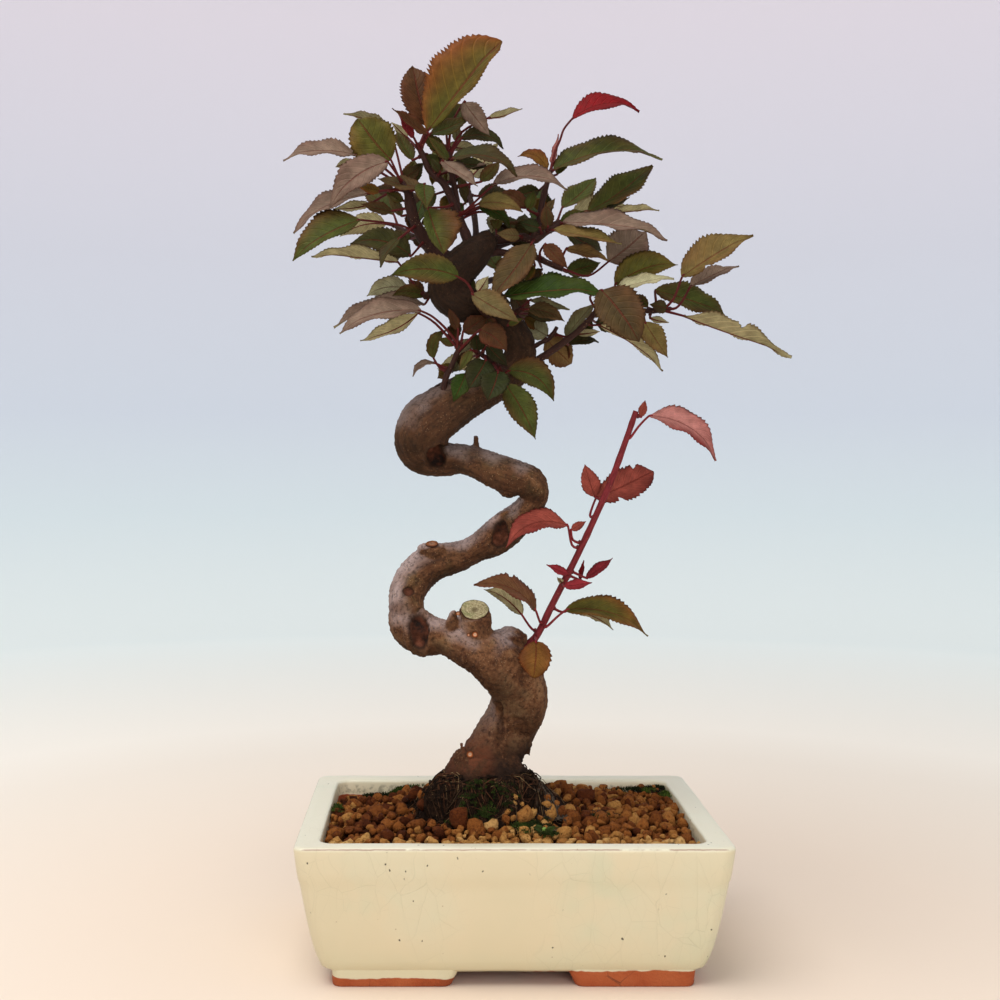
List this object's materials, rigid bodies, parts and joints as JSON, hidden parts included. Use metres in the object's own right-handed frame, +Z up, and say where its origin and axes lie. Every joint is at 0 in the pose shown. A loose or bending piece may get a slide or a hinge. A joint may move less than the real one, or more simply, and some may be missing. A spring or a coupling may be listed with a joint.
{
  "type": "apple bonsai",
  "caption": "Apple bonsai with a winding trunk and toothed bronze-green leaves, planted in grainy soil in a cream glazed rectangular pot on low feet.",
  "frame": {"origin": "on the standing surface, under the middle of the whole plant's box", "axes": "+Z up along the tree, +X to the right of the pot's long front, +Y towards the back"},
  "size_m": [0.2262, 0.13, 0.4023],
  "materials": {
    "glaze": "gloss",
    "netting": "matte",
    "clay": "matte",
    "peat": "matte",
    "bark": "matte",
    "leaf": "satin",
    "young_leaf": "satin",
    "sprout": "satin"
  },
  "bodies": {
    "root": {"pot": "glaze", "drain_mesh_left": "netting", "drain_mesh_right": "netting", "soil": "clay", "root_mound": "peat", "trunk": "bark", "apex_shoot": "leaf", "left_branch": "leaf", "left_low_spray": "leaf", "right_branch": "leaf", "right_low_branch": "leaf", "front_spray": "leaf", "right_mid_spray": "leaf", "right_thin_shoot": "leaf", "left_mid_shoot": "leaf", "front_mid_spray": "leaf", "right_long_branch": "leaf", "red_shoot": "young_leaf", "back_left_spray": "leaf", "back_top_spray": "leaf", "back_right_spray": "leaf", "back_mid_spray": "leaf", "back_low_spray": "leaf", "sprout": "sprout"}
  },
  "joints": []
}
